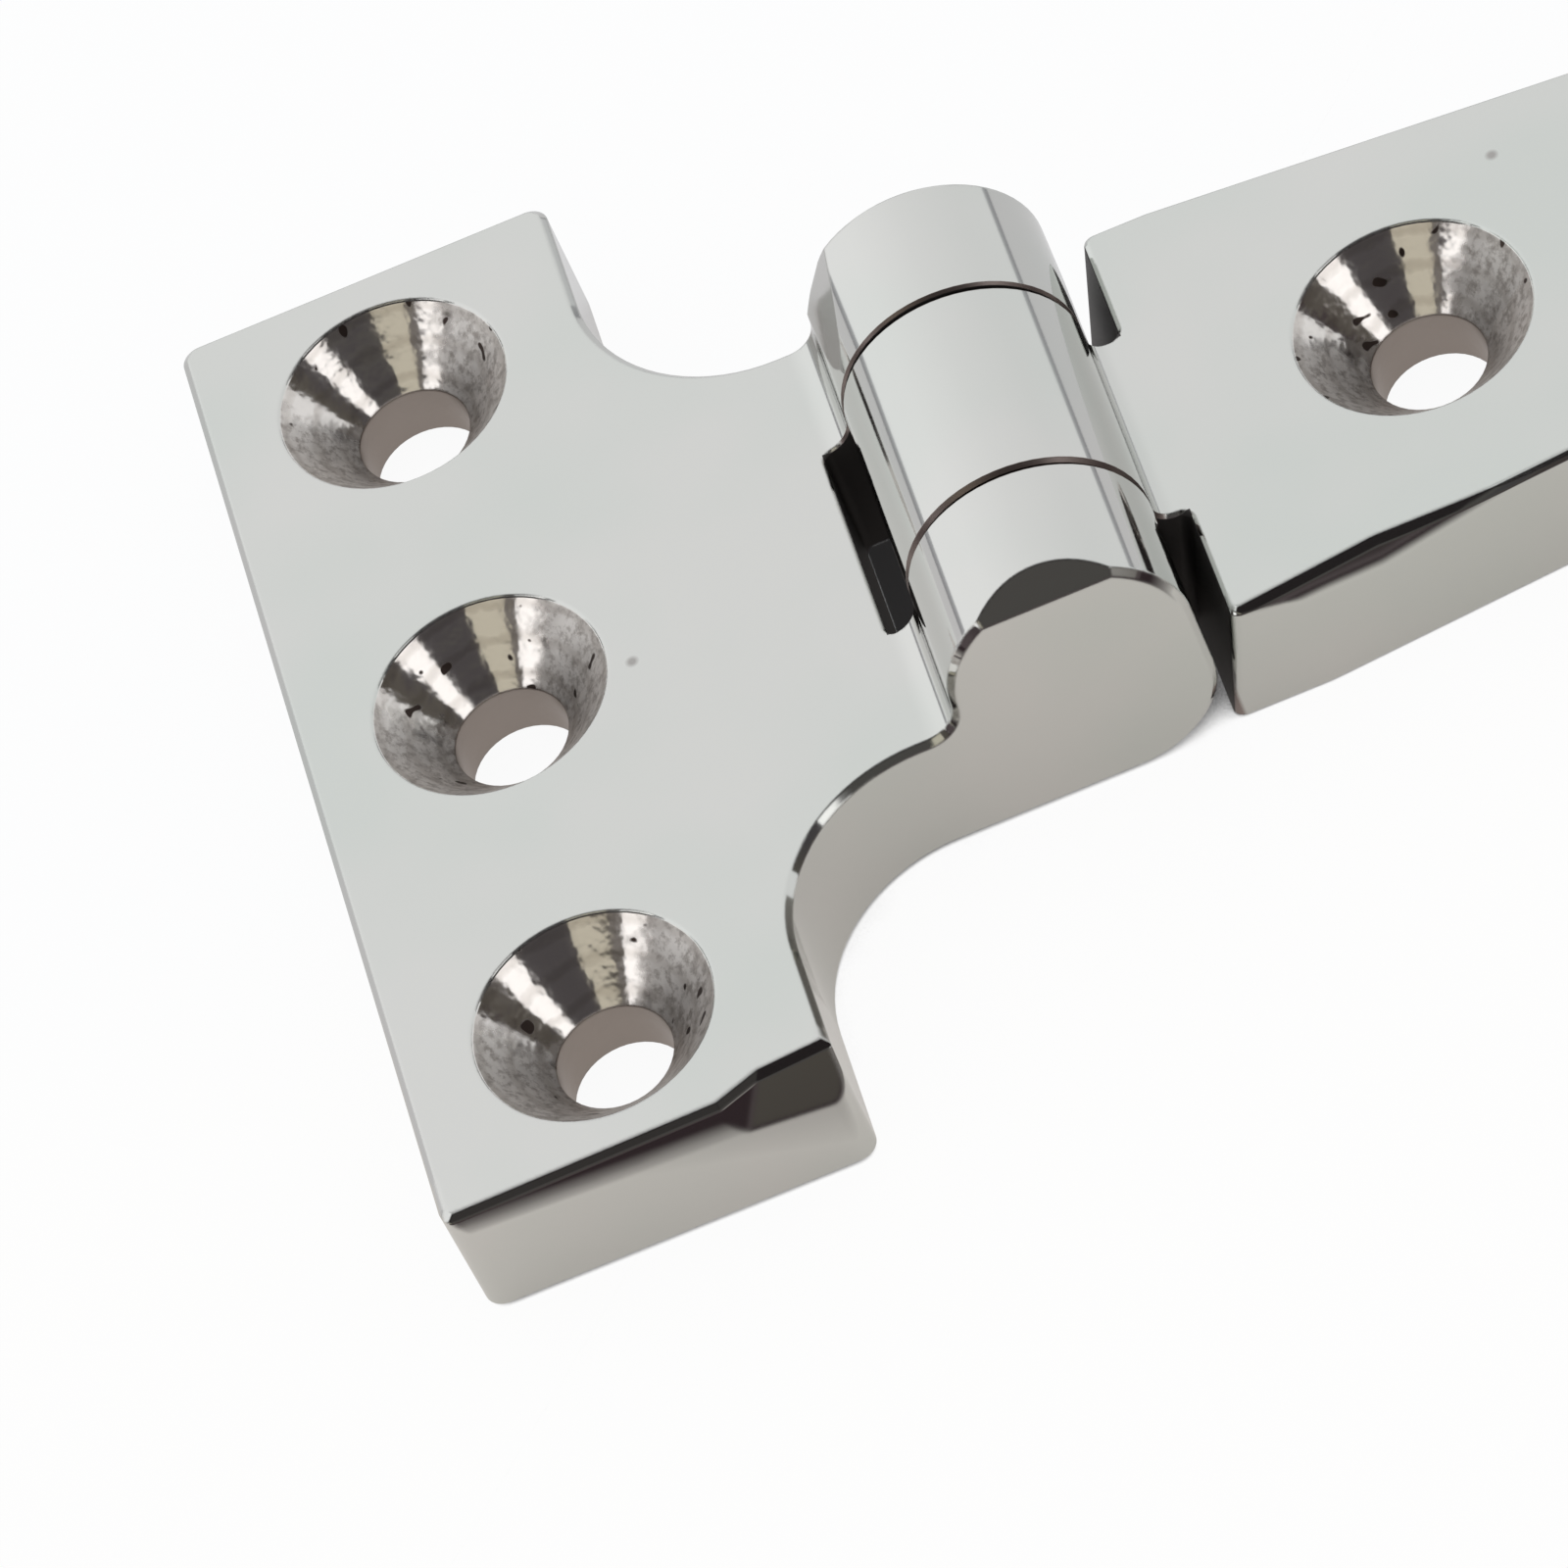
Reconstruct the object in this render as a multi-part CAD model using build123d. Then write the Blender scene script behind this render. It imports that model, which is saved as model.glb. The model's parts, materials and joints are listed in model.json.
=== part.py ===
import os
from math import atan, cos, hypot, radians, sin, sqrt, tan

from build123d import *

# Tee hinge in cast, mirror-polished stainless steel: a tee leaf, a tapering strap leaf and one pin.
# Millimetres, +Z up. The origin is the foot of the pin's axis on the mounting plane, midway along the knuckles.
# +X runs out along the strap, Y runs along the pin, and the flat backs of both leaves lie on z = 0.

# Both castings
plate_thickness = 7.6
tee_edge = 0.35  # width of the break polished onto every edge of the tee
strap_edge = 0.2  # the same on the strap
slot_edge = 0.15  # the crisper break round the slot

# Tee bar and its neck
bar_length = 58.4
bar_width = 19.8
bar_corner = 1.0
neck_hollow = 8.4  # plan radius of the hollow corners between bar and neck
neck_flat = 0.6  # straight side left between those and the knuckles

# Strap
strap_reach = 74.5  # from the pin's axis to the rounded tip
strap_width = 25.8
strap_parallel = 11.0  # where the taper begins
strap_taper = 0.092  # lost from each side for every millimetre of length
strap_corner = 0.6
shoulder_lean = 1.7  # the shoulders lean away from the outer knuckles as they rise
shoulder_corner = 0.6  # hollow corner between a shoulder and the middle knuckle
shoulder_flat = 0.12  # from the strap's hollow to that corner

# Knuckles
pin_height = 9.1
knuckle_radius = 6.1
knuckle_length = 26.8  # over both outer knuckles
middle_length = 11.9
seam = 0.15  # side play at each end of the middle knuckle
slot_gap = 1.75  # between the middle knuckle and the wall of its slot
slot_corner = 0.5
heel_radius = 5.0  # lower free corner of the outer knuckles
tee_hollow = 1.7  # radius of the hollow from the tee's plate up to its knuckles
strap_hollow = 0.9  # the same on the strap

# Pin
pin_radius = 2.5
pin_play = 0.05  # radial, where the middle knuckle turns on it
pin_blind = 3.0  # metal left at the closed end of its hole
pin_end_gap = 0.3
pin_chamfer = 0.3

# Countersunk screw holes
screw_hole_radius = 2.9
sink_radius = 6.0
sink_angle = 82.0
back_chamfer = 1.0
tee_hole_inset = 9.7  # from the bar's outer edge
tee_hole_pitch = 20.9
tee_hole_count = 3
strap_first_hole = 21.0  # from the pin's axis
strap_last_hole = 9.5  # from the tip
strap_hole_count = 3

# Facets polished by hand. Leans are degrees from upright, set-backs are how far a facet's top edge lies in
# from the side, and a crowned facet rolls over into the side below it.
bar_facet_lean = 24.0
bar_facet_roll = 3.0
bar_facet_set_back = 0.42  # at the bar's outer end
bar_facet_fall = 0.045  # lower for every millimetre towards the neck
neck_facet_lean = 35.0  # the second facet, between the first one and the neck
neck_facet_set_back = (0.85, 1.62, 1.9)  # at its outer end, its corner and the neck
neck_facet_place = (5.5, 3.5, 0.0)  # how far those three lie from the bar's inner side
strap_facet_lean = 33.0
strap_facet_roll = 1.5
strap_facet_set_back = 0.75
strap_facet_middle = 15.3  # where it is at its widest
strap_facet_rise = (-0.055, 0.15)  # for every millimetre of length, so that it fades out both ways
facet_meets_side = 4.0  # degrees left between a crowned facet and the side
cap_facet = 1.35  # off the top of the near knuckle's end
flank_flat_lean = 28.0  # the flat along the far knuckle's flank, over the tee
flank_flat_depth = 0.43  # at the knuckle's end
flank_flat_length = 6.5


def hollow_start(hollow):
    """How far from the pin's axis a hollow leaves the plate, before it rises into the barrel."""
    rise = plate_thickness + hollow - pin_height
    return sqrt((knuckle_radius + hollow) ** 2 - rise**2)


# Worked out from the sizes above
bar_inner = hollow_start(tee_hollow) + neck_flat + neck_hollow
bar_reach = bar_inner + bar_width
tee_hole_line = bar_reach - tee_hole_inset
knuckle_end = knuckle_length / 2
middle_end = middle_length / 2
slot_half = middle_end + seam
slot_wall = knuckle_radius + slot_gap
knuckle_top = pin_height + knuckle_radius
strap_half = strap_width / 2
strap_hole_pitch = (strap_reach - strap_last_hole - strap_first_hole) / (strap_hole_count - 1)
sink_slope = tan(radians(sink_angle / 2))
sink_depth = (sink_radius - screw_hole_radius) / sink_slope
past = knuckle_length + knuckle_top  # how far the big cutting tools run past the part
over = back_chamfer  # how far the small ones run past a face


def knuckle_profile(heel, hollow, reach):
    """Side view of a knuckle whose leaf runs towards -X: foot, heel, barrel, hollow and plate top."""
    away = hollow_start(hollow)
    rise = plate_thickness + hollow - pin_height
    share = knuckle_radius / (knuckle_radius + hollow)
    foot = (knuckle_radius - heel, 0)
    heel_middle = (knuckle_radius - heel + heel * sqrt(0.5), heel - heel * sqrt(0.5))
    heel_top = (knuckle_radius, heel)
    barrel_start = (knuckle_radius, pin_height)
    barrel_end = (-away * share, pin_height + rise * share)
    # The hollow's middle lies on the line that halves the angle between its two ends.
    half = (radians(90) - atan(rise / away)) / 2
    hollow_middle = (-away + hollow * sin(half), plate_thickness + hollow - hollow * cos(half))
    plate_start = (-away, plate_thickness)
    with BuildSketch(Plane.XZ) as profile:
        with BuildLine():
            Line((-reach, 0), foot)
            ThreePointArc(foot, heel_middle, heel_top)
            Line(heel_top, barrel_start)
            ThreePointArc(barrel_start, (0, knuckle_top), barrel_end)
            ThreePointArc(barrel_end, hollow_middle, plate_start)
            Line(plate_start, (-reach, plate_thickness))
            Line((-reach, plate_thickness), (-reach, 0))
        make_face()
    return profile.sketch


def across(profile, start, end):
    """The solid of an XZ profile between two places along Y."""
    return Pos(0, end, 0) * extrude(profile, end - start)


def screw_holes(places):
    """Cutters for the screw holes: a through hole, its sink at the top and a broken edge at the back."""
    with BuildSketch(Plane.XZ) as profile:
        with BuildLine():
            Polyline(
                (0, -over),
                (screw_hole_radius + back_chamfer + over, -over),
                (screw_hole_radius, back_chamfer),
                (screw_hole_radius, plate_thickness - sink_depth),
                (sink_radius + over * sink_slope, plate_thickness + over),
                (0, plate_thickness + over),
                close=True,
            )
        make_face()
    cutter = revolve(profile.sketch, Axis.Z)
    return [Pos(x, y, 0) * cutter for x, y in places]


def pin_rod(radius, start, end):
    """A round bar on the pin's axis between two places along Y."""
    return Pos(0, (start + end) / 2, pin_height) * Rot(90, 0, 0) * Cylinder(radius, end - start)


def upright(edge):
    return abs(edge.tangent_at(0.5).Z) > 0.97


def runs_across(edge):
    """True of a line along Y that is centred on the hinge."""
    return abs(edge.tangent_at(0.5).Y) > 0.999 and abs(edge.center().Y) < 0.01


def crowned_cutter(start, run, lean, roll, set_back):
    """What a crowned facet takes off, swept both ways from start, which lies on the side at the plate's top.

    The section is straight below the facet's top edge, then rolls over until it stands upright."""
    tilt = radians(lean)
    above = 3 * over
    top = (set_back + above * tan(tilt), above)
    left = set_back - roll * (cos(radians(facet_meets_side)) - cos(tilt))
    turn = (set_back - left, -left / tan(tilt))
    middle = (turn[0] + roll * cos(tilt), turn[1] - roll * sin(tilt))
    with BuildSketch(Plane.YZ) as profile:
        with BuildLine():
            Line(top, turn)
            ThreePointArc(
                turn,
                (middle[0] - roll * cos(tilt / 2), middle[1] + roll * sin(tilt / 2)),
                (middle[0] - roll, middle[1]),
            )
            Polyline(
                (middle[0] - roll, middle[1]),
                (-set_back - over, middle[1]),
                (-set_back - over, above),
                top,
            )
        make_face()
    sweep = Vector(*run)
    section = Pos(*(Vector(*start) - sweep * past)) * profile.sketch
    return extrude(section, 2 * past * sweep.length, dir=sweep.normalized())


def facet_plane(start, end, lean):
    """The plane of a facet whose level top edge runs from start to end, with the metal on its left."""
    run = (Vector(*end) - Vector(*start)).normalized()
    outward = Vector(run.Y, -run.X, 0) * cos(radians(lean)) + Vector(0, 0, sin(radians(lean)))
    return Plane(origin=start, x_dir=run, z_dir=outward)


def neck_facet_cutter():
    """The wedge between two planes that is polished off the near end of the bar's inner edge."""
    kink, corner, end = [
        (-bar_inner - place, set_back - bar_length / 2, plate_thickness)
        for place, set_back in zip(neck_facet_place, neck_facet_set_back)
    ]
    size = 2 * (neck_facet_place[0] + neck_facet_set_back[2])
    block = Pos(-bar_inner, -bar_length / 2, plate_thickness) * Box(size, size, size)
    block = block.split(facet_plane(kink, corner, bar_facet_lean), keep=Keep.TOP)
    return block.split(facet_plane(corner, end, neck_facet_lean), keep=Keep.TOP)


def flank_cutter():
    """What the flat on the far knuckle takes off; it fades out towards the seam."""
    rise = radians(flank_flat_lean)
    reach = knuckle_radius - flank_flat_depth
    foot = (-reach * cos(rise), knuckle_end, pin_height + reach * sin(rise))
    outward = Vector(-cos(rise), flank_flat_depth / flank_flat_length, sin(rise))
    low = (-knuckle_radius - over, knuckle_end - flank_flat_length, pin_height)
    block = Pos(*low) * Box(
        knuckle_radius + over, flank_flat_length + over, knuckle_radius + over, align=(Align.MIN,) * 3
    )
    return block.split(Plane(origin=foot, x_dir=(0, 0, 1), z_dir=outward), keep=Keep.TOP)


def cap_cutter():
    """The wedge polished off the top of the near knuckle's end."""
    low = (-knuckle_end - over, knuckle_top - cap_facet - over)
    high = (-knuckle_end + cap_facet + over, knuckle_top + over)
    with BuildSketch(Plane.YZ) as profile:
        with BuildLine():
            Polyline(low, high, (low[0], high[1]), close=True)
        make_face()
    return extrude(profile.sketch, knuckle_radius, both=True)


def tee_plan():
    with BuildSketch() as plan:
        with BuildLine():
            FilletPolyline(
                (-bar_reach, 0),
                (-bar_reach, bar_length / 2),
                (-bar_inner, bar_length / 2),
                (-bar_inner, knuckle_end),
                (0, knuckle_end),
                radius=[bar_corner, bar_corner, neck_hollow],
            )
            Line((0, knuckle_end), (0, 0))
            mirror(about=Plane.XZ)
        make_face()
    return plan.sketch


def tee_leaf():
    leaf = extrude(tee_plan(), plate_thickness)
    leaf += across(knuckle_profile(heel_radius, tee_hollow, bar_inner), -knuckle_end, knuckle_end)

    # Every edge of the outline is broken, top and back; the lines across the knuckles are smooth already.
    outline = [
        e for e in leaf.edges() if not upright(e) and not (runs_across(e) and e.center().X > -bar_inner - over)
    ]
    leaf = chamfer(outline, tee_edge)

    slot = Pos(past / 2 - slot_wall, 0, 0) * Box(past, 2 * slot_half, 2 * past)
    leaf -= fillet(slot.edges().filter_by(Axis.Z).group_by(Axis.X)[0], slot_corner)
    slot_edges = [
        e
        for e in leaf.edges()
        if e.center().X > -slot_wall - 0.001
        and not upright(e)
        and (runs_across(e) or slot_half - slot_corner < abs(e.center().Y) < slot_half + 0.001)
    ]
    leaf = chamfer(slot_edges, slot_edge)

    # The pin's hole is open at the far end and closed at the near one.
    leaf -= pin_rod(pin_radius, pin_blind - knuckle_end, knuckle_end + over)
    row = tee_hole_pitch * (tee_hole_count - 1) / 2
    for cutter in screw_holes([(-tee_hole_line, tee_hole_pitch * i - row) for i in range(tee_hole_count)]):
        leaf -= cutter

    leaf -= crowned_cutter(
        (-bar_reach, -bar_length / 2, plate_thickness),
        (1, 0, -bar_facet_fall),
        bar_facet_lean,
        bar_facet_roll,
        bar_facet_set_back,
    )
    return leaf - neck_facet_cutter() - flank_cutter() - cap_cutter()


def strap_plan():
    """Outline of the strap from under the pin to the tip, whose round meets both tapered sides smoothly."""
    slant = hypot(1, strap_taper)
    tip = (strap_half - strap_taper * (strap_reach - strap_parallel)) / (slant - strap_taper)
    tip_middle = strap_reach - tip
    meets_tip = (tip_middle + tip * strap_taper / slant, tip / slant)
    with BuildSketch() as plan:
        with BuildLine():
            Polyline((0, 0), (0, strap_half), (strap_parallel, strap_half), meets_tip)
            ThreePointArc(
                meets_tip,
                (tip_middle + tip * sqrt(0.5), tip * sqrt(0.5)),
                (strap_reach, 0),
            )
            mirror(about=Plane.XZ)
        make_face()
    return plan.sketch


def shoulder_cutter():
    """Frees the middle knuckle on the far side, down to a shoulder that leans back as it rises."""
    top = hollow_start(strap_hollow) + shoulder_flat + shoulder_corner
    lean = Vector(shoulder_lean, 0, plate_thickness)
    with BuildSketch() as plan:
        with Locations((top - shoulder_lean - past / 2, middle_end + past / 2)):
            Rectangle(past, past)
        fillet(plan.vertices().sort_by(lambda v: v.X - v.Y)[-1], shoulder_corner)
    return extrude(Pos(lean * -1) * plan.sketch, 4 * lean.length, dir=lean.normalized())


def strap_leaf():
    leaf = extrude(strap_plan(), plate_thickness)
    profile = knuckle_profile(knuckle_radius, strap_hollow, strap_parallel)
    leaf += across(mirror(profile, about=Plane.YZ), -strap_half, strap_half)
    for cutter in (shoulder_cutter(), mirror(shoulder_cutter(), about=Plane.XZ)):
        leaf -= cutter
    corners = [
        e
        for e in leaf.edges()
        if upright(e) and e.center().X < strap_parallel - 0.01 and abs(e.center().Y) > strap_half - 0.01
    ]
    leaf = fillet(corners, strap_corner)
    leaf = chamfer([e for e in leaf.edges() if not upright(e) and not runs_across(e)], strap_edge)

    leaf -= pin_rod(pin_radius + pin_play, -slot_half, slot_half)
    for cutter in screw_holes([(strap_first_hole + strap_hole_pitch * i, 0) for i in range(strap_hole_count)]):
        leaf -= cutter

    # The facet is a lens: it takes off only what both of its halves do.
    side = strap_taper * (strap_facet_middle - strap_parallel) - strap_half
    inner, outer = [
        crowned_cutter(
            (strap_facet_middle, side, plate_thickness),
            (1, strap_taper, rise),
            strap_facet_lean,
            strap_facet_roll,
            strap_facet_set_back,
        )
        for rise in strap_facet_rise
    ]
    return leaf - (inner & outer)


def hinge_pin():
    """Pressed into the tee's hole from the far end, flush with the knuckle there."""
    pin = pin_rod(pin_radius, pin_blind + pin_end_gap - knuckle_end, knuckle_end)
    return chamfer(pin.edges().filter_by(GeomType.CIRCLE), pin_chamfer)


os.makedirs("parts", exist_ok=True)
export_step(tee_leaf(), "parts/tee_leaf.step")
export_step(strap_leaf(), "parts/strap_leaf.step")
export_step(hinge_pin(), "parts/hinge_pin.step")
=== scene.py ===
import json
from math import cos, pi, radians, sin

import bpy
from mathutils import Matrix, Vector


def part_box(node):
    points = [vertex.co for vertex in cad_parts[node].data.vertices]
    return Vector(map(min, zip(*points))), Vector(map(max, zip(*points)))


# A tee hinge in cast stainless steel, polished to a mirror, on a pale table in a small studio.
# The scene is in metres in the part's own frame: +X out along the strap, Y along the pin, +Z up.
# The dictionaries give lengths in millimetres and angles in degrees, unless a line says otherwise.

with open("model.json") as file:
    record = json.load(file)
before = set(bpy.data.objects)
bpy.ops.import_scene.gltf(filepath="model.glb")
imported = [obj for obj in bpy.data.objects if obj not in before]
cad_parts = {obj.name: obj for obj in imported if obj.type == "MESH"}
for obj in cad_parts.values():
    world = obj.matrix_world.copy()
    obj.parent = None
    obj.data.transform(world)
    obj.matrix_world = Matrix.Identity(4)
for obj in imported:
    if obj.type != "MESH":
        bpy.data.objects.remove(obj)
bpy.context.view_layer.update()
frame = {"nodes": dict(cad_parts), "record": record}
print("frame loaded:", ", ".join(frame["nodes"]))


def linear(hexColour):
    # sRGB hex to the linear colour that the nodes take
    parts = [int(hexColour[i:i + 2], 16) / 255 for i in (1, 3, 5)]
    return [p / 12.92 if p <= 0.04045 else ((p + 0.055) / 1.055) ** 2.4 for p in parts] + [1.0]


def addNode(tree, kind, settings=None, links=()):
    # settings are the node's own properties; links are what goes to its inputs, in their order or by
    # name or number, each a socket, a plain value or a hex colour
    node = tree.nodes.new("ShaderNode" + kind)
    for key, value in (settings or {}).items():
        setattr(node, key, value)
    for key, value in links.items() if isinstance(links, dict) else enumerate(links):
        if isinstance(value, bpy.types.NodeSocket):
            tree.links.new(value, node.inputs[key])
        else:
            node.inputs[key].default_value = linear(value) if isinstance(value, str) else value
    return node


def overlap(tree, *parts):
    # a mask of what every part covers: a part is a mask itself, or a value with two limits, uncovered up
    # to the first and covered from the second on, and the first may lie above the second
    total = None
    for part in parts:
        mask = addNode(tree, "MapRange", {}, part).outputs[0] if isinstance(part, tuple) else part
        total = mask if total is None else addNode(
            tree, "Math", {"operation": "MULTIPLY"}, (total, mask)
        ).outputs[0]
    return total


def layered(tree, kind, base, *layers):
    # a colour ("RGBA") or a number ("FLOAT") with others laid over it, each as far as its mask covers
    low, high, out = {"RGBA": (6, 7, 2), "FLOAT": (2, 3, 0)}[kind]
    for mask, over in layers:
        base = addNode(tree, "Mix", {"data_type": kind}, {0: mask, low: base, high: over}).outputs[out]
    return base


def newMaterial(name):
    material = bpy.data.materials.new(name)
    material.use_nodes = True
    material.node_tree.nodes.clear()
    return material, material.node_tree


def objectPlace(tree):
    # where on the object a point lies: in metres, in mm, and as its X, Y and Z in mm
    place = addNode(tree, "TexCoord").outputs["Object"]
    inMm = addNode(tree, "VectorMath", {"operation": "SCALE"}, {0: place, "Scale": 1000}).outputs[0]
    return place, inMm, addNode(tree, "SeparateXYZ", {}, (inMm,)).outputs


def dress(nodeName, material):
    # a CAD piece keeps its mesh and takes the new finish in every slot
    piece = frame["nodes"][nodeName]
    for slot in piece.material_slots:
        slot.link = "OBJECT"
        slot.material = material


def holePlaces(prefix):
    # screw holes in mm, as the record's mounts give them: two holes a mount, spaced along X or Y
    places = set()
    for mount in frame["record"]["mounts"]:
        if mount["name"].startswith(prefix) and mount["kind"] == "bolt_pattern":
            x, y = (1000 * p for p in mount["pos_m"][:2])
            alongX = mount["dims"].get("spacing_x_mm", 0) / 2
            alongY = mount["dims"].get("spacing_y_mm", 0) / 2
            for side in (-1, 1):
                places.add((round(x + side * alongX, 3), round(y + side * alongY, 3)))
    return sorted(places)


# Polished casting
# Cast 316 stainless steel, buffed on a wheel: a cool light grey mirror with a faint swell left by the
# wheel. The wheel never reached the screw sinks, which are brown-grey from the cutter, nor the walls of
# the slot and the shoulders, which keep the rough skin of the casting. Their colour is darkened further
# as painted shade, for the shade down in those gaps.
casting = {
    "mirror": "#CCCBC8",
    "mirrorHaze": "#C7C9C5",
    "mirrorRoughness": 0.045,
    "hazeRoughness": 0.085,
    "hazeSize": 14.0,  # across one soft patch
    "hazeFrom": (0.4, 0.65),  # the noise's values where the haze starts and is full, here and below
    "swellSize": 7.0,  # from crest to crest of the wheel's swell
    "swellHeight": 0.004,
    "edgeRound": 0.22,  # the broken edges
    "facetRound": 0.45,  # the lower edges of the hand-polished facets on the near sides
    "crestRound": 0.12,  # their upper edges
    "crestHeight": (7.05, 7.2),  # where those start
    "crestFacing": (-0.3, -0.5),  # how far a face there turns to the near side
    "crestTilt": 0.66,  # how far the wheel rolled over those
    "crispRound": 0.05,  # along the seams
    "aboveBack": (0.01, 0.03),  # the sinks' finish stops short of the flat back
    "topHeight": 7.6,  # thickness of a leaf
    "sinkMetal": "#DAD5D1",
    "sinkBand": "#C9C3BE",
    "sinkGrain": "#A8A19C",
    "sinkStain": "#4A403C",
    "sinkRoughness": 0.12,
    "sinkStainRoughness": 0.4,
    "sinkMatt": 0.42,  # roughness of the walls that face sideways and away, over the cutter's drag marks
    "sinkRadius": 5.88,  # inside the polished rim
    "sinkEdge": 0.05,  # over which the two finishes meet
    "sinkReach": 7.0,  # wide enough for one sink, and too narrow for the next
    "farSide": (-0.25, 0.97, 0),  # the way from the hole's axis to the wall that shines
    "mattFrom": (0.98, 0.74),  # how far a wall lies that way where the matt starts and is full
    "mattWobble": 0.6,  # how much the mottle shifts that
    "bandSpacing": 1.15,  # cutter chatter, drawn coarser than the real 0.1 mm so that it shows
    "bandWobble": 0.6,
    "bandFrom": (0.3, 1.0),
    "mottleSize": 1.2,
    "mottleHeight": 0.035,
    "grainSize": 0.5,
    "grainFrom": (0.45, 0.65),
    "spotSize": 0.9,  # from one dark spot to the next
    "spotFrom": (0.77, 0.8),
    "holeTop": (4.08, 4.03),  # the height where the sink ends and the plain hole starts
    "holeMetal": "#A39A94",
    "holeRoughness": 0.3,
    "seamMetal": "#8F837F",
    "seamRoughness": 0.3,
    # the casting's skin, darkened further as painted shade for the slot and the shoulders
    "skinAndShade": "#5C5958",
    "skinRoughness": 0.55,
    "poreSize": 0.24,  # radius of the one cast pore that shows on each leaf
    "poreEdge": (1.6, 0.6),  # of that radius
    "poreColour": "#A29F9C",
}
porePlaces = {"tee_leaf": (-19.84, -1.55), "strap_leaf": (27.59, 7.68)}

# Where the finishes meet on each leaf. Each pair is where a mask starts and where it is full.
teeLimits = {
    "slotFrom": (-7.88, -7.86),  # along X
    "slotWithin": (6.13, 6.11),  # to each side of the middle
    "seamFrom": (-6.9, -6.7),
    "seamWithin": (6.27, 6.25),
    "crispWithin": (6.7, 6.6),
    "nearSide": (-26.4, -26.7),  # along Y
    "facetFrom": (4.0, 4.5),  # height
}
strapLimits = {
    "knuckleEnd": (5.92, 5.94),  # to each side of the middle
    "shoulderLean": -1.7 / 7.6,  # along X for each mm of height
    "shoulderTo": (6.04, 6.02),  # along X at the shoulder's foot
    "shoulderRoot": (5.3, 5.35),  # the same for the far end of that skin, which leans less
    "rootLean": -0.1,
    "seamTo": (6.6, 6.4),
    "seamBeyond": (5.73, 5.75),
    "crispBeyond": (5.2, 5.4),
    "nearTaper": -0.092,  # along Y for each mm along X
    "nearSide": (-12.312, -12.512),  # along Y, level with the pin
    "facetFrom": (4.5, 5.0),
}


def teeMasks(tree, x, y, z):
    # the slot's walls (rough skin with painted shade), the broken edges along the seams, the surroundings
    # of those, and the near side
    v = teeLimits
    across = addNode(tree, "Math", {"operation": "ABSOLUTE"}, (y,)).outputs[0]
    skinAndShade = overlap(tree, (x, *v["slotFrom"]), (across, *v["slotWithin"]))
    seam = overlap(tree, (x, *v["seamFrom"]), (across, *v["seamWithin"]))
    crisp = overlap(tree, (x, *v["seamFrom"]), (across, *v["crispWithin"]))
    facet = overlap(tree, (y, *v["nearSide"]), (z, *v["facetFrom"]))
    return skinAndShade, seam, crisp, facet


def strapMasks(tree, x, y, z):
    # the shoulders beside the middle knuckle (rough skin with painted shade), then the same as on the tee
    v = strapLimits
    across = addNode(tree, "Math", {"operation": "ABSOLUTE"}, (y,)).outputs[0]
    shoulder = addNode(tree, "Math", {"operation": "MULTIPLY_ADD"}, (z, v["shoulderLean"], x)).outputs[0]
    root = addNode(tree, "Math", {"operation": "MULTIPLY_ADD"}, (z, v["rootLean"], x)).outputs[0]
    skinAndShade = overlap(
        tree, (across, *v["knuckleEnd"]), (shoulder, *v["shoulderTo"]), (root, *v["shoulderRoot"])
    )
    seam = overlap(tree, (x, *v["seamTo"]), (across, *v["seamBeyond"]))
    crisp = overlap(tree, (x, *v["seamTo"]), (across, *v["crispBeyond"]))
    side = addNode(tree, "Math", {"operation": "MULTIPLY_ADD"}, (x, v["nearTaper"], y)).outputs[0]
    facet = overlap(tree, (side, *v["nearSide"]), (z, *v["facetFrom"]))
    return skinAndShade, seam, crisp, facet


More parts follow.
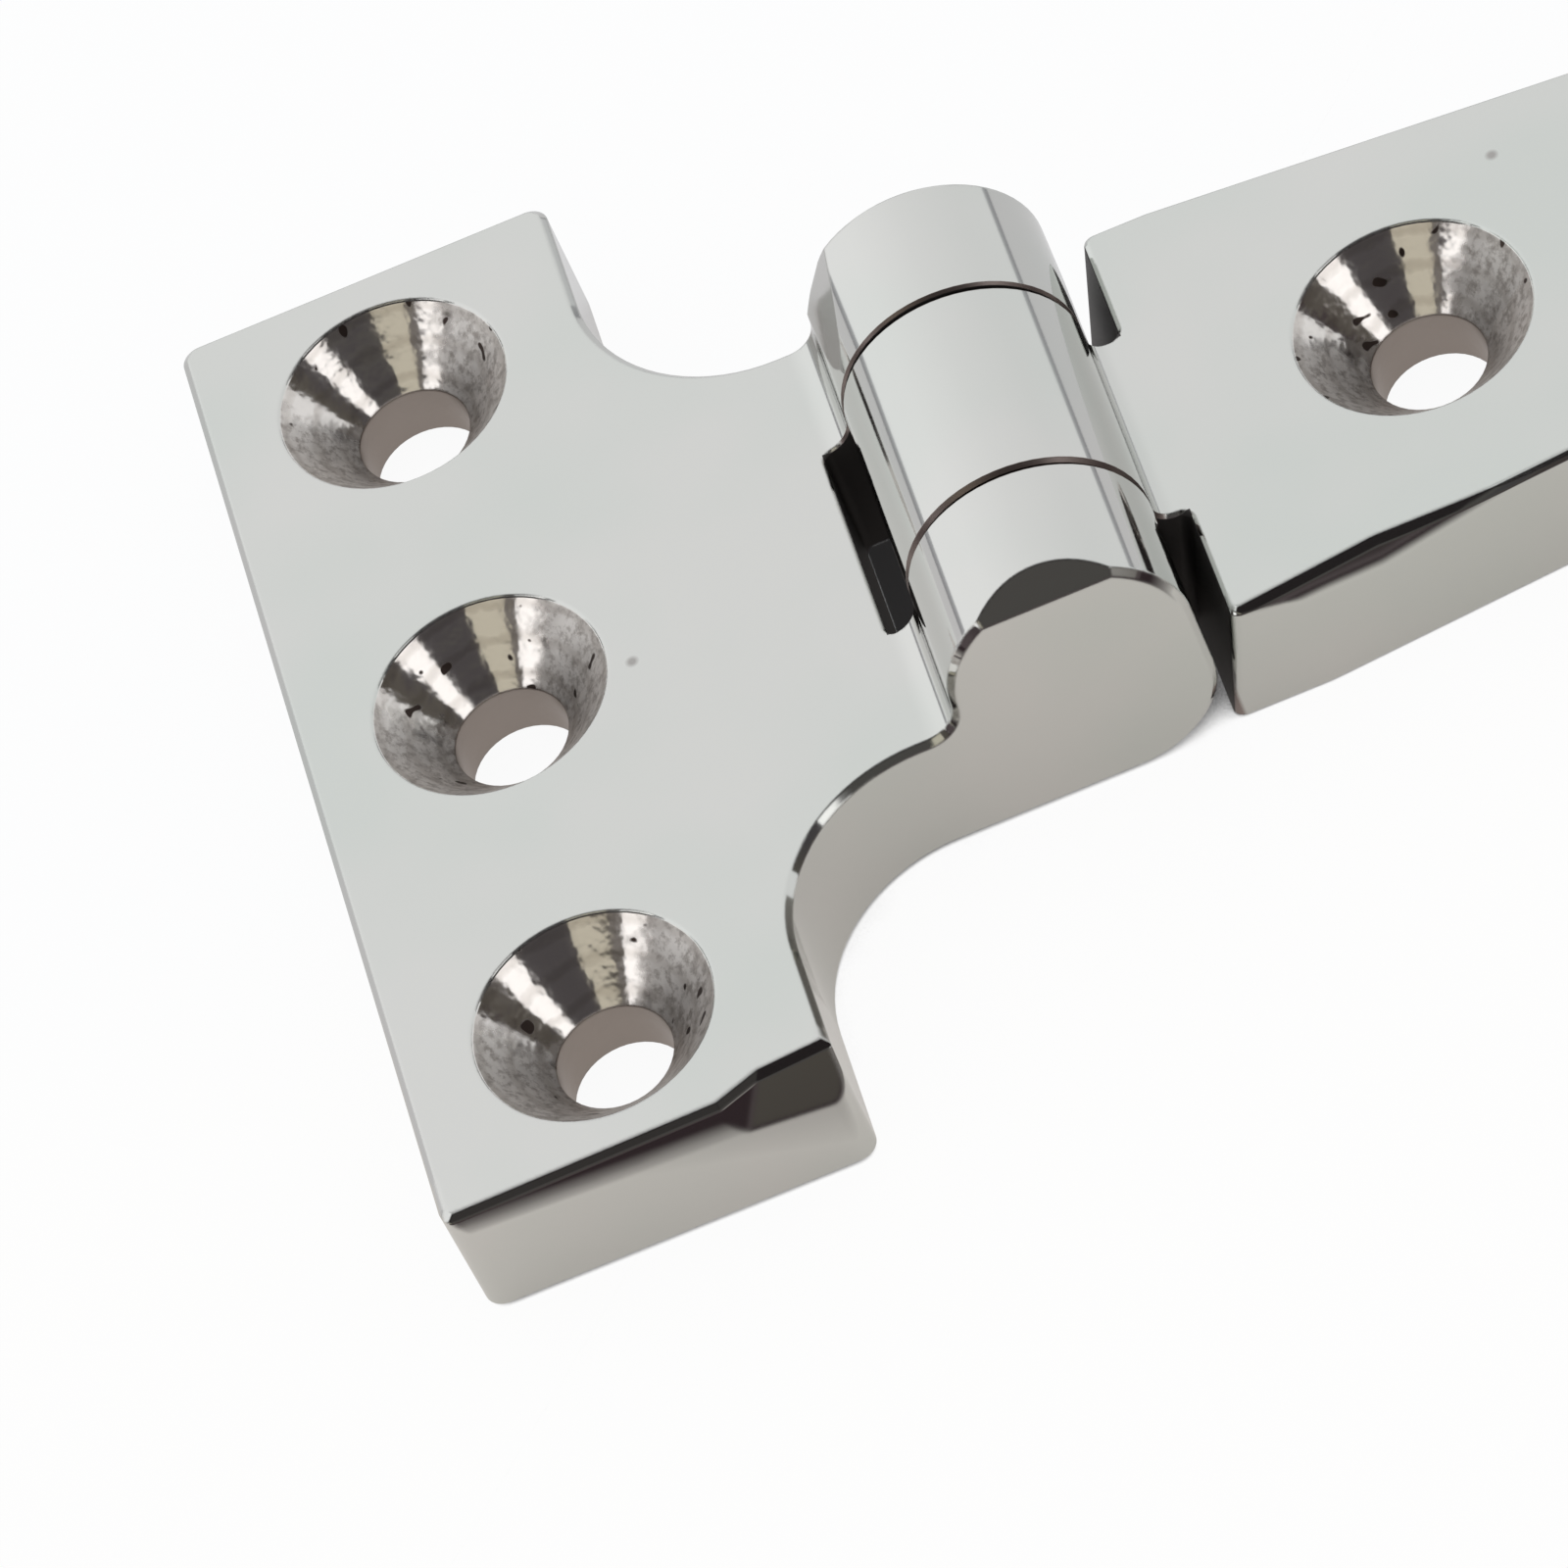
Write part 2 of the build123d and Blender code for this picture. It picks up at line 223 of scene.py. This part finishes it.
def castSteel(name, holes, masks, pore):
    v = casting
    material, tree = newMaterial(name)
    place, inMm, (x, y, z) = objectPlace(tree)
    skinAndShade, seam, crisp, facet = masks(tree, x, y, z)

    # distance from the nearest hole's axis, and how far to the far side the sink's wall lies there
    distance, towards = None, None
    for hole in holes:
        offset = addNode(tree, "VectorMath", {"operation": "SUBTRACT"}, (inMm, (*hole, 0))).outputs[0]
        flat = addNode(tree, "VectorMath", {"operation": "MULTIPLY"}, (offset, (1, 1, 0))).outputs[0]
        length = addNode(tree, "VectorMath", {"operation": "LENGTH"}, (flat,)).outputs["Value"]
        far = addNode(
            tree, "VectorMath", {"operation": "DOT_PRODUCT"}, (flat, v["farSide"])
        ).outputs["Value"]
        near = addNode(tree, "Math", {"operation": "LESS_THAN"}, (length, v["sinkReach"])).outputs[0]
        far = addNode(tree, "Math", {"operation": "MULTIPLY"}, (far, near)).outputs[0]
        if distance is None:
            distance, towards = length, far
        else:
            distance = addNode(tree, "Math", {"operation": "MINIMUM"}, (distance, length)).outputs[0]
            towards = addNode(tree, "Math", {"operation": "ADD"}, (towards, far)).outputs[0]
    rim = v["sinkRadius"]
    inSink = overlap(tree, (distance, rim + v["sinkEdge"], rim), (z, *v["aboveBack"]))
    inHole = overlap(tree, (z, *v["holeTop"]))

    # soft haze over the mirror, and one pore
    haze = addNode(
        tree, "TexNoise", {}, {"Vector": place, "Scale": 1000 / v["hazeSize"], "Detail": 2.0}
    ).outputs["Fac"]
    haze = overlap(tree, (haze, *v["hazeFrom"]))
    offset = addNode(
        tree, "VectorMath", {"operation": "DISTANCE"}, (inMm, (*pore, v["topHeight"]))
    ).outputs["Value"]
    inPore = overlap(tree, (offset, *(v["poreSize"] * share for share in v["poreEdge"])))
    mirror = layered(tree, "RGBA", v["mirror"], (haze, v["mirrorHaze"]), (inPore, v["poreColour"]))
    mirrorRoughness = layered(tree, "FLOAT", v["mirrorRoughness"], (haze, v["hazeRoughness"]))

    # the sinks: cutter bands, a light mottle, matt walls with a grain, and a few dark spots
    mottle = addNode(
        tree, "TexNoise", {},
        {"Vector": place, "Scale": 1000 / v["mottleSize"], "Detail": 2.0, "Roughness": 0.6},
    ).outputs["Fac"]
    wobble = addNode(
        tree, "Math", {"operation": "MULTIPLY_ADD"}, (mottle, v["bandWobble"], distance)
    ).outputs[0]
    turns = addNode(
        tree, "Math", {"operation": "MULTIPLY"}, (wobble, 2 * pi / v["bandSpacing"])
    ).outputs[0]
    wave = addNode(tree, "Math", {"operation": "SINE"}, (turns,)).outputs[0]
    band = overlap(tree, (wave, *v["bandFrom"]))
    towards = addNode(tree, "Math", {"operation": "DIVIDE"}, (towards, distance)).outputs[0]
    turned = addNode(
        tree, "Math", {"operation": "MULTIPLY_ADD"}, (mottle, v["mattWobble"], towards)
    ).outputs[0]
    matt = overlap(tree, (turned, *v["mattFrom"]))
    grain = addNode(
        tree, "TexNoise", {},
        {"Vector": place, "Scale": 1000 / v["grainSize"], "Detail": 3.0, "Roughness": 0.7},
    ).outputs["Fac"]
    grain = overlap(tree, matt, (grain, *v["grainFrom"]))
    spots = addNode(
        tree, "TexNoise", {}, {"Vector": place, "Scale": 1000 / v["spotSize"], "Detail": 0.0}
    ).outputs["Fac"]
    stain = overlap(tree, (spots, *v["spotFrom"]))
    sinkColour = layered(
        tree, "RGBA", v["sinkMetal"], (band, v["sinkBand"]), (grain, v["sinkGrain"]),
        (stain, v["sinkStain"]), (inHole, v["holeMetal"]),
    )
    sinkRoughness = layered(
        tree, "FLOAT", v["sinkRoughness"], (matt, v["sinkMatt"]), (stain, v["sinkStainRoughness"]),
        (inHole, v["holeRoughness"]),
    )
    # the slot's walls and the shoulders go on top: the skin's colour, darkened as painted shade
    colour = layered(
        tree, "RGBA", mirror, (inSink, sinkColour), (seam, v["seamMetal"]), (skinAndShade, v["skinAndShade"])
    )
    roughness = layered(
        tree, "FLOAT", mirrorRoughness, (inSink, sinkRoughness), (seam, v["seamRoughness"]),
        (skinAndShade, v["skinRoughness"]),
    )

    # relief: the swell on the mirror, the mottle in the sinks
    swell = addNode(
        tree, "TexNoise", {}, {"Vector": place, "Scale": 1000 / v["swellSize"], "Detail": 0.0}
    ).outputs["Fac"]
    swell = addNode(tree, "Math", {"operation": "MULTIPLY"}, (swell, v["swellHeight"] / 1000)).outputs[0]
    pits = addNode(tree, "Math", {"operation": "MULTIPLY"}, (mottle, v["mottleHeight"] / 1000)).outputs[0]
    relief = layered(tree, "FLOAT", swell, (inSink, pits))

    # softened edges, and the crests of the facets, where the wheel rolled over and tipped the face up
    normal = addNode(tree, "NewGeometry").outputs["Normal"]
    facing = addNode(tree, "SeparateXYZ", {}, (normal,)).outputs["Y"]  # the strap swings about Y
    crest = overlap(tree, facet, (z, *v["crestHeight"]), (facing, *v["crestFacing"]))
    corner = layered(
        tree, "FLOAT", v["edgeRound"] / 1000, (facet, v["facetRound"] / 1000),
        (crest, v["crestRound"] / 1000), (crisp, v["crispRound"] / 1000),
    )
    rounded = addNode(tree, "Bevel", {"samples": 6}, {"Radius": corner}).outputs[0]
    tilt = addNode(tree, "Math", {"operation": "MULTIPLY"}, (crest, v["crestTilt"])).outputs[0]
    tilt = addNode(tree, "CombineXYZ", {}, {"Z": tilt}).outputs[0]
    tilt = addNode(
        tree, "VectorTransform",
        {"vector_type": "VECTOR", "convert_from": "OBJECT", "convert_to": "WORLD"}, (tilt,),
    ).outputs[0]
    rounded = addNode(tree, "VectorMath", {"operation": "ADD"}, (rounded, tilt)).outputs[0]
    rounded = addNode(tree, "VectorMath", {"operation": "NORMALIZE"}, (rounded,)).outputs[0]
    bump = addNode(
        tree, "Bump", {}, {"Strength": 1.0, "Distance": 1.0, "Height": relief, "Normal": rounded}
    ).outputs[0]

    steel = addNode(
        tree, "BsdfPrincipled", {},
        {"Metallic": 1.0, "Base Color": colour, "Roughness": roughness, "Normal": bump},
    ).outputs[0]
    addNode(tree, "OutputMaterial", {}, {"Surface": steel})
    return material


# Hinge pin
# Drawn stainless rod, cut to length and faced in a lathe: slightly duller, with fine rings on its end.
pin = {
    "metal": "#C4C3C0",
    "roughness": 0.16,
    "ringSpacing": 0.25,
    "ringHeight": 0.004,
}


def turnedRod(name):
    v = pin
    material, tree = newMaterial(name)
    inMm = objectPlace(tree)[1]
    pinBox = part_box("hinge_pin")
    axis = (0, 0, 1000 * (pinBox[0][2] + pinBox[1][2]) / 2)
    offset = addNode(tree, "VectorMath", {"operation": "SUBTRACT"}, (inMm, axis)).outputs[0]
    flat = addNode(tree, "VectorMath", {"operation": "MULTIPLY"}, (offset, (1, 0, 1))).outputs[0]
    distance = addNode(tree, "VectorMath", {"operation": "LENGTH"}, (flat,)).outputs["Value"]
    turns = addNode(
        tree, "Math", {"operation": "MULTIPLY"}, (distance, 2 * pi / v["ringSpacing"])
    ).outputs[0]
    rings = addNode(tree, "Math", {"operation": "SINE"}, (turns,)).outputs[0]
    relief = addNode(tree, "Math", {"operation": "MULTIPLY"}, (rings, v["ringHeight"] / 1000)).outputs[0]
    bump = addNode(tree, "Bump", {}, {"Distance": 1.0, "Height": relief}).outputs[0]
    steel = addNode(
        tree, "BsdfPrincipled", {},
        {"Metallic": 1.0, "Base Color": v["metal"], "Roughness": v["roughness"], "Normal": bump},
    ).outputs[0]
    addNode(tree, "OutputMaterial", {}, {"Surface": steel})
    return material


dress("tee_leaf", castSteel(
    "polishedCastSteelTee", holePlaces("tee_screws"), teeMasks, porePlaces["tee_leaf"]
))
dress("strap_leaf", castSteel(
    "polishedCastSteelStrap", holePlaces("strap_screws"), strapMasks, porePlaces["strap_leaf"]
))
dress("hinge_pin", turnedRod("turnedSteelRod"))
print("metal finishes set")


# Studio
# A white table under a pale sky, and round it the cards that a photographer of mirror finishes sets up.
# What such a finish shows is the room, so the cards make its tones. They are seen in reflections only.
# Azimuths run from +Y towards +X. A card's distance is in metres.
studio = {
    "tableSize": 3.0,  # m
    "table": "#DAD6D1",
    "tableBehind": "#CFD2D8",
    "behindFrom": (-12.0, 0.0),  # along Y, where the one tone turns to the other
    "tableWhite": 0.95,  # share of plain white that the camera sees
    "mirrorTint": "#F6F1ED",
    "mirrorWhite": 0.45,  # the same share in reflections
    "holeWhite": 0.6,  # the same under the screw holes, a painted pool of light there
    "holeReach": (4.3, 4.1),  # from a hole's axis, the reach of that painted light
    "gapDepth": 9.0,  # deep narrow gaps over the table get painted shade
    # the colour of the painted shade in those gaps
    "gapShade": "#4C4849",
    "openFrom": (0.2, 0.33),  # how open the table is to the sky where the gaps end, for the camera
    "openMirrored": (0.1, 0.2),  # and in reflections
    "gapWhite": 0.015,  # the share of white left in a gap
    "gapWhiteMirrored": 0.13,
    "slot": ((-7.8, 0.5), 6.1),  # its reach along X and half its length along Y; the table there gets painted shade
    "sky": "#F7F9FA",
    "skyStrength": (1.24, 1.12, 1.04),  # to the left, behind and to the right
    "skyTurn": 0.6,  # how far to each side it changes, as the X of a direction of length 1
    "darkCard": {"azimuth": (88, 264), "elevation": (-1, 76), "distance": 1.2, "tones": (
        (-1, "#5E5557"), (8, "#5E5557"), (16, "#40383A"), (19, "#5C5852"), (24, "#5C5852"),
        (29, "#4F4C4E"), (35, "#4F4C4E"), (38, "#575553"), (43, "#575553"), (48, "#2A2627"),
        (76, "#2A2627"),
    )},
    "farRail": {"azimuth": (-80, 80), "elevation": (-0.1, 4), "distance": 1.2, "tones": (
        (0, "#9A9A9E"), (4, "#C9CBCE"),
    )},
    # greys the tops when they are seen from behind
    "sideCard": {"azimuth": (104, 158), "elevation": (3, 20), "distance": 1.164, "tones": (
        (3, "#8A8683"), (20, "#A8A5A2"),
    )},
    # the streaks in the sinks
    "rightBox": {
        "azimuth": (116, 140), "elevation": (22, 36), "distance": 1.164,
        "colour": "#FFFFFF", "strength": 1.5,
    },
    "leftBox": {
        "azimuth": (232, 256), "elevation": (14, 29), "distance": 1.164,
        "colour": "#FFFFFF", "strength": 1.5,
    },
    "creamBox": {
        "azimuth": (190, 223), "elevation": (27, 38), "distance": 1.164,
        "colour": "#F7F2DE", "strength": 0.74,
    },
    "greyBox": {
        "azimuth": (223, 232), "elevation": (24, 36), "distance": 1.164,
        "colour": "#8E8985", "strength": 0.7,
    },
    # lies on the table in front of the hinge, and fades in from a line through two points
    "frontCard": {
        "start": ((-40, -36.5), (25, -18.8)), "fade": 7.0, "gain": 1.15, "dark": "#3A3033",
        "height": 0.3,
    },
}
cardGrid = (24, 8)  # faces round and up a card


def reflectionOnly(piece):
    piece.visible_camera = False
    piece.visible_diffuse = False
    piece.visible_shadow = False


def plainMesh(name, points, faces, material):
    mesh = bpy.data.meshes.new(name)
    mesh.from_pydata(points, [], faces)
    piece = bpy.data.objects.new(name, mesh)
    piece.data.materials.append(material)
    bpy.context.scene.collection.objects.link(piece)
    return piece


def curvedCard(name, card, material):
    # part of a sphere round the object, cut off just above the table
    across, upward = cardGrid
    distance = card["distance"]
    firstTurn, lastTurn = card["azimuth"]
    lowest, highest = card["elevation"]
    points = []
    for j in range(upward + 1):
        up = radians(lowest + (highest - lowest) * j / upward)
        for i in range(across + 1):
            turn = radians(firstTurn + (lastTurn - firstTurn) * i / across)
            level = distance * cos(up)
            points.append((level * sin(turn), level * cos(turn), max(distance * sin(up), 0.001)))
    row = across + 1
    faces = [
        (j * row + i, j * row + i + 1, (j + 1) * row + i + 1, (j + 1) * row + i)
        for j in range(upward) for i in range(across)
    ]
    reflectionOnly(plainMesh(name, points, faces, material))


def glowing(name, colour, strength):
    material, tree = newMaterial(name)
    glow = addNode(tree, "Emission", {}, {"Color": colour, "Strength": strength}).outputs[0]
    addNode(tree, "OutputMaterial", {}, {"Surface": glow})
    return material


def toned(name, tones, distance):
    # a card whose tone changes with its height, given at elevations
    material, tree = newMaterial(name)
    place = addNode(tree, "TexCoord").outputs["Object"]
    height = addNode(tree, "SeparateXYZ", {}, (place,)).outputs["Z"]
    elevations, colours = zip(*tones)
    heights = [distance * sin(radians(elevation)) for elevation in elevations]
    lowest, highest = heights[0], heights[-1]
    scale = addNode(tree, "ValToRGB", {}, (overlap(tree, (height, lowest, highest)),))
    stops = scale.color_ramp.elements
    while len(stops) < len(tones):
        stops.new(1.0)
    for stop, level, colour in zip(stops, heights, colours):
        stop.position = (level - lowest) / (highest - lowest)
        stop.color = linear(colour)
    glow = addNode(tree, "Emission", {}, {"Color": scale.outputs[0], "Strength": 1.0}).outputs[0]
    addNode(tree, "OutputMaterial", {}, {"Surface": glow})
    return material


def frontFade(name, card):
    # clear as far as a line on the table, half dark at the fade's width beyond it, then all dark
    material, tree = newMaterial(name)
    x, y = objectPlace(tree)[2][:2]
    (x0, y0), (x1, y1) = card["start"]
    slope = (y1 - y0) / (x1 - x0)
    line = addNode(tree, "Math", {"operation": "MULTIPLY_ADD"}, (x, slope, y0 - slope * x0)).outputs[0]
    beyond = addNode(tree, "Math", {"operation": "SUBTRACT"}, (line, y)).outputs[0]
    beyond = addNode(
        tree, "Math", {"operation": "MULTIPLY"}, (beyond, 1 / (1 + slope**2) ** 0.5)
    ).outputs[0]
    beyond = addNode(tree, "Math", {"operation": "MAXIMUM"}, (beyond, 0.0)).outputs[0]
    whole = addNode(tree, "Math", {"operation": "ADD"}, (beyond, card["fade"])).outputs[0]
    share = addNode(tree, "Math", {"operation": "DIVIDE"}, (beyond, whole)).outputs[0]
    share = addNode(
        tree, "Math", {"operation": "MULTIPLY", "use_clamp": True}, (share, card["gain"])
    ).outputs[0]
    clear = addNode(tree, "BsdfTransparent").outputs[0]
    glow = addNode(tree, "Emission", {}, {"Color": card["dark"], "Strength": 1.0}).outputs[0]
    surface = addNode(tree, "MixShader", {}, (share, clear, glow)).outputs[0]
    addNode(tree, "OutputMaterial", {}, {"Surface": surface})
    return material


def tableTop(name):
    # pale paper, lifted to white for the camera except down in deep gaps, which get painted shade, and
    # with painted light under the screw holes
    v = studio
    material, tree = newMaterial(name)
    inMm, axes = objectPlace(tree)[1:]
    x, y = axes[:2]
    rays = addNode(tree, "LightPath").outputs
    camera = rays["Is Camera Ray"]
    mirrored = addNode(
        tree, "Math", {"operation": "MAXIMUM"}, (rays["Is Glossy Ray"], rays["Is Transmission Ray"])
    ).outputs[0]

    # painted shade on the table in the slot behind the middle knuckle
    (slotStart, slotEnd), slotHalf = v["slot"]
    along = addNode(tree, "Math", {"operation": "SUBTRACT"}, (x, (slotStart + slotEnd) / 2)).outputs[0]
    along = addNode(tree, "Math", {"operation": "ABSOLUTE"}, (along,)).outputs[0]
    along = addNode(
        tree, "Math", {"operation": "GREATER_THAN"}, (along, (slotEnd - slotStart) / 2)
    ).outputs[0]
    across = addNode(tree, "Math", {"operation": "ABSOLUTE"}, (y,)).outputs[0]
    across = addNode(tree, "Math", {"operation": "GREATER_THAN"}, (across, slotHalf)).outputs[0]
    outside = addNode(tree, "Math", {"operation": "MAXIMUM"}, (along, across)).outputs[0]
    shade = addNode(
        tree, "AmbientOcclusion", {"samples": 8}, {"Distance": v["gapDepth"] / 1000}
    ).outputs["AO"]
    clear = overlap(tree, (shade, *v["openFrom"]), outside)

    # the paper itself
    paper = layered(tree, "RGBA", v["table"], (overlap(tree, (y, *v["behindFrom"])), v["tableBehind"]))
    # painted shade: the paper turns dark where it lies deep in a gap or under the slot
    colour = layered(tree, "RGBA", v["gapShade"], (clear, paper))
    paint = addNode(tree, "BsdfDiffuse", {}, {"Color": colour}).outputs[0]

    # the white over it, with a painted pool of light under each screw hole
    distance = None
    for hole in holePlaces("tee_screws") + holePlaces("strap_screws"):
        offset = addNode(
            tree, "VectorMath", {"operation": "DISTANCE"}, (inMm, (*hole, 0))
        ).outputs["Value"]
        distance = offset if distance is None else addNode(
            tree, "Math", {"operation": "MINIMUM"}, (distance, offset)
        ).outputs[0]
    paintedLightUnderHole = overlap(tree, (distance, *v["holeReach"]))
    # the camera sees the painted light under the holes even down in a gap
    seen = addNode(tree, "Math", {"operation": "MAXIMUM"}, (clear, paintedLightUnderHole)).outputs[0]
    seen = addNode(tree, "Math", {"operation": "MULTIPLY"}, (seen, v["tableWhite"])).outputs[0]
    seen = addNode(tree, "Math", {"operation": "MAXIMUM"}, (seen, v["gapWhite"])).outputs[0]
    shown = overlap(tree, (shade, *v["openMirrored"]), outside)
    shown = addNode(tree, "Math", {"operation": "MULTIPLY"}, (shown, v["mirrorWhite"])).outputs[0]
    shown = addNode(tree, "Math", {"operation": "MAXIMUM"}, (shown, v["gapWhiteMirrored"])).outputs[0]
    # painted light: reflections see more white under the screw holes
    shown = layered(tree, "FLOAT", shown, (paintedLightUnderHole, v["holeWhite"]))
    seen = addNode(tree, "Math", {"operation": "MULTIPLY"}, (camera, seen)).outputs[0]
    shown = addNode(tree, "Math", {"operation": "MULTIPLY"}, (mirrored, shown)).outputs[0]
    share = addNode(tree, "Math", {"operation": "ADD"}, (seen, shown)).outputs[0]
    shine = layered(tree, "RGBA", v["mirrorTint"], (camera, "#FFFFFF"))
    white = addNode(tree, "Emission", {}, {"Color": shine, "Strength": 1.0}).outputs[0]
    surface = addNode(tree, "MixShader", {}, (share, paint, white)).outputs[0]
    addNode(tree, "OutputMaterial", {}, {"Surface": surface})
    return material


def buildStudio():
    v = studio
    half = v["tableSize"] / 2
    corners = [(-half, -half, 0), (half, -half, 0), (half, half, 0), (-half, half, 0)]
    plainMesh("table", corners, [(0, 1, 2, 3)], tableTop("paleTable"))

    # cards and soft boxes
    for name in ("darkCard", "farRail", "sideCard", "rightBox", "leftBox", "creamBox", "greyBox"):
        card = v[name]
        if "tones" in card:
            curvedCard(name, card, toned(name, card["tones"], card["distance"]))
        else:
            curvedCard(name, card, glowing(name, card["colour"], card["strength"]))
    front = v["frontCard"]
    height = front["height"] / 1000
    corners = [(-half, -half, height), (half, -half, height), (half, 0, height), (-half, 0, height)]
    reflectionOnly(plainMesh("frontCard", corners, [(0, 1, 2, 3)], frontFade("frontCard", front)))

    # sky, a little brighter on the left
    world = bpy.data.worlds.new("paleSky")
    world.use_nodes = True
    tree = world.node_tree
    tree.nodes.clear()
    direction = addNode(tree, "TexCoord").outputs["Generated"]
    sideways = addNode(tree, "SeparateXYZ", {}, (direction,)).outputs["X"]
    left, behind, right = v["skyStrength"]
    strength = layered(
        tree, "FLOAT", left, (overlap(tree, (sideways, -v["skyTurn"], 0.0)), behind),
        (overlap(tree, (sideways, 0.0, v["skyTurn"])), right),
    )
    sky = addNode(tree, "Background", {}, {"Color": v["sky"], "Strength": strength}).outputs[0]
    addNode(tree, "OutputWorld", {}, {"Surface": sky})
    bpy.context.scene.world = world


buildStudio()
print("studio built")


# Camera, at the photograph's angle
view = {
    "aim": (-15.48, -5.87, 0.0),  # the point on the table in the middle of the frame
    "distance": 437.9,
    "azimuth": -5.51,  # 0 looks along +Y
    "elevation": 49.72,
    "roll": -26.38,
    "lens": 208.0,
    "sensor": 36.0,
    "clip": (10.0, 20000.0),
}


def buildCamera():
    v = view
    turn, up = radians(v["azimuth"]), radians(v["elevation"])
    forward = Vector((sin(turn) * cos(up), cos(turn) * cos(up), -sin(up)))
    level = Vector((cos(turn), -sin(turn), 0))
    above = level.cross(forward)
    roll = radians(v["roll"])
    right = level * cos(roll) + above * sin(roll)
    top = above * cos(roll) - level * sin(roll)
    place = Vector(v["aim"]) - forward * v["distance"]
    camera = bpy.data.objects.new("camera", bpy.data.cameras.new("camera"))
    camera.data.lens = v["lens"]
    camera.data.sensor_width = v["sensor"]
    camera.data.clip_start, camera.data.clip_end = (reach / 1000 for reach in v["clip"])
    turned = Matrix((right, top, -forward)).transposed()
    camera.matrix_world = Matrix.Translation(place / 1000) @ turned.to_4x4()
    bpy.context.scene.collection.objects.link(camera)
    bpy.context.scene.camera = camera


buildCamera()
bpy.context.scene.view_settings.view_transform = "Standard"
print("camera set")
